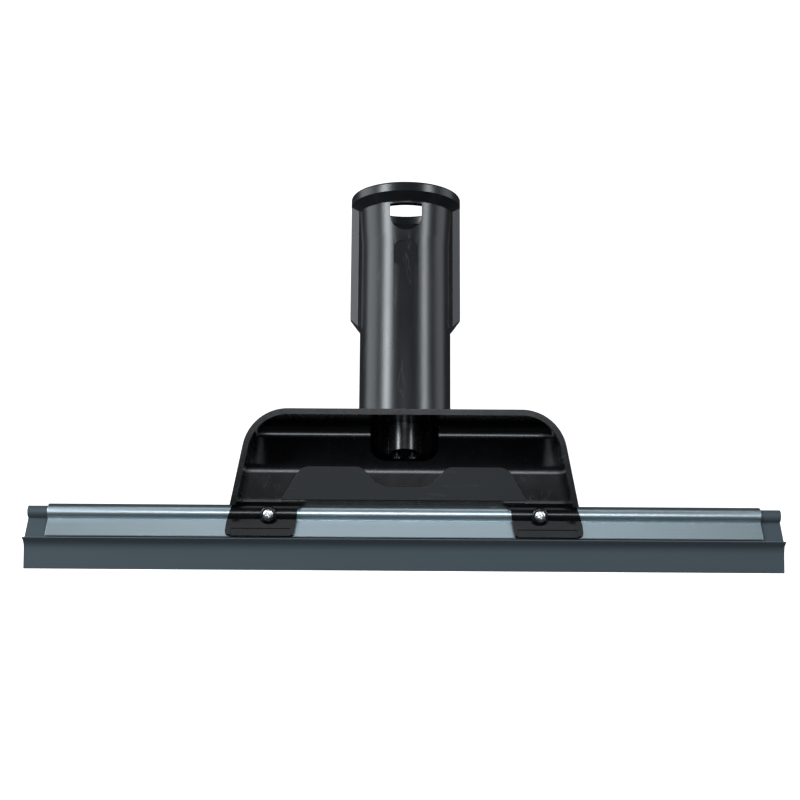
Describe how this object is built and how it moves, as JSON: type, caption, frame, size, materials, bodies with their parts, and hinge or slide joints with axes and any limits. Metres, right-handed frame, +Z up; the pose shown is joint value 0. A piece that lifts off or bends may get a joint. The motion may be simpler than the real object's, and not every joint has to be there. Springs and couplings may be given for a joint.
{
  "type": "window cleaning squeegee",
  "caption": "Steam cleaner window squeegee: latching socket tube, hood with twin steam nozzle, aluminium rail and a flexible rubber wiping blade.",
  "frame": {"origin": "centre of the object's box at the height of the rubber's wiping edge", "axes": "+X along the blade, -Y towards the glass, +Z up the blade; the socket tube leans back towards +Y"},
  "size_m": [0.296, 0.065, 0.1544],
  "materials": {
    "tube_plastic": "satin black moulded plastic",
    "pipe_plastic": "matt grey moulded plastic",
    "nozzle_plastic": "gloss black moulded plastic",
    "hood_plastic": "gloss black moulded plastic",
    "panel_plastic": "satin dark grey plastic",
    "rail_aluminium": "blue-grey satin anodised",
    "blade_rubber": "matt blue-grey rubber",
    "screw_steel": "bright zinc-plated steel"
  },
  "bodies": {
    "housing": {"coupling_tube": "tube_plastic", "steam_pipe": "pipe_plastic", "steam_nozzle": "nozzle_plastic", "hood": "hood_plastic", "baffle_panel": "panel_plastic", "squeegee_rail": "rail_aluminium"},
    "left_screw": {"clamp_screw_left": "screw_steel"},
    "right_screw": {"clamp_screw_right": "screw_steel"},
    "blade": {"blade_strip": "blade_rubber"},
    "lip": {"blade_lip": "blade_rubber"}
  },
  "joints": [
    {"name": "left_screw_back_out", "type": "slide", "parent": "housing", "child": "left_screw", "axis": [0, -1, 0], "range_m": [0, 0.003]},
    {"name": "right_screw_back_out", "type": "slide", "parent": "housing", "child": "right_screw", "axis": [0, -1, 0], "range_m": [0, 0.003]},
    {"name": "blade_slide", "type": "slide", "parent": "housing", "child": "blade", "axis": [1, 0, 0], "range_m": [-0.28, 0.28]},
    {"name": "lip_flex", "type": "hinge", "parent": "blade", "child": "lip", "pos_m": [0, -0.02868, 0.01142], "axis": [1, 0, 0], "range_deg": [-5, 35], "stiffness_Nm_per_rad": 0.03}
  ]
}
